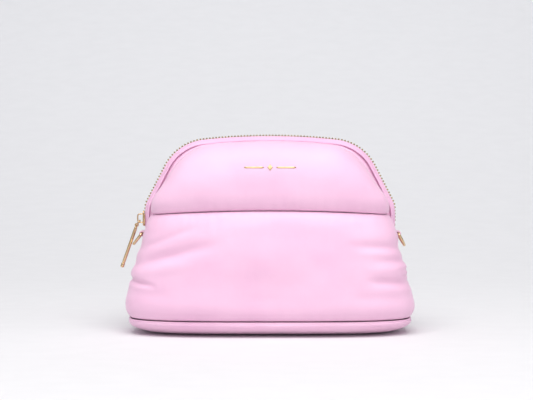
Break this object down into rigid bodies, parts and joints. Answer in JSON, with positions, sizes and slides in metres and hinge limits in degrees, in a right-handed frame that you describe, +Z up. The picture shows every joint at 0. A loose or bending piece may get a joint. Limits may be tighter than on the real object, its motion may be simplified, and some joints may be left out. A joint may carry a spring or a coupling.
{
  "type": "makeup bag",
  "caption": "Padded dome-top makeup bag with quilt-seamed upper panels, a metal zip over the arch, a bar zip puller and a D-ring at each side.",
  "frame": {"origin": "centre of the flat underside of the base", "axes": "+X along the bag's length towards the open end of the zip, -Y out of the front face, +Z up"},
  "size_m": [0.2354, 0.0926, 0.157],
  "materials": {
    "pink_satin": "soft satin woven outer fabric",
    "wadding": "polyester wadding",
    "stiffener": "thin stiffening board",
    "lining_cloth": "smooth lining",
    "zip_tape": "woven tape",
    "gold": "polished light gold plating",
    "gold_foil": "stamped foil"
  },
  "bodies": {
    "bag": {"front_lower_shell": "pink_satin", "front_lower_padding": "wadding", "front_lower_lining": "lining_cloth", "back_lower_shell": "pink_satin", "back_lower_padding": "wadding", "back_lower_lining": "lining_cloth", "back_upper_shell": "pink_satin", "back_upper_padding": "wadding", "back_upper_lining": "lining_cloth", "base_shell": "pink_satin", "base_padding": "wadding", "base_board": "stiffener", "base_lining": "lining_cloth", "back_zip_facing": "pink_satin", "back_zip_tape": "zip_tape", "back_zip_teeth": "gold", "left_end_teeth": "gold", "right_end_teeth": "gold", "zip_end_tapes": "zip_tape", "zip_top_stops": "gold", "zip_bottom_stop": "gold", "left_ring_tab": "pink_satin", "right_ring_tab": "pink_satin"},
    "front_flap": {"front_upper_shell": "pink_satin", "front_upper_padding": "wadding", "front_upper_fold_padding": "wadding", "front_upper_lining": "lining_cloth", "front_zip_facing": "pink_satin", "front_zip_tape": "zip_tape", "front_zip_teeth": "gold", "foil_mark": "gold_foil"},
    "slider": {"slider_body": "gold", "slider_crown": "gold"},
    "link": {"puller_link": "gold"},
    "puller": {"puller_bar": "gold", "puller_cap": "gold"},
    "left_ring": {"left_d_ring": "gold"},
    "right_ring": {"right_d_ring": "gold"}
  },
  "joints": [
    {"name": "unzip", "type": "hinge", "parent": "bag", "child": "slider", "pos_m": [0, 0, 0.091], "axis": [0, 1, 0], "range_deg": [0, 180], "deforming": ["back_zip_tape", "back_zip_teeth", "left_end_teeth", "right_end_teeth"]},
    {"name": "mouth_open", "type": "hinge", "parent": "bag", "child": "front_flap", "pos_m": [0, -0.016, 0.098], "axis": [1, 0, 0], "range_deg": [0, 35], "deforming": ["front_upper_shell", "front_upper_fold_padding", "front_upper_lining", "front_zip_facing", "front_zip_tape", "front_zip_teeth"]},
    {"name": "link_swing", "type": "hinge", "parent": "slider", "child": "link", "pos_m": [-0.1042, 0, 0.0891], "axis": [0, 1, 0], "range_deg": [0, 79]},
    {"name": "puller_swing", "type": "hinge", "parent": "link", "child": "puller", "pos_m": [-0.10672, 0, 0.0855], "axis": [0, 1, 0], "range_deg": [0, 65]},
    {"name": "left_ring_swing", "type": "hinge", "parent": "bag", "child": "left_ring", "pos_m": [-0.1024, 0, 0.079], "axis": [0, 1, 0], "range_deg": [-14, 0]},
    {"name": "right_ring_swing", "type": "hinge", "parent": "bag", "child": "right_ring", "pos_m": [0.1024, 0, 0.079], "axis": [0, 1, 0], "range_deg": [-118, 6]}
  ],
  "couplings": [
    {"joint": "mouth_open", "follows": "unzip", "ratio": 0.19444}
  ]
}
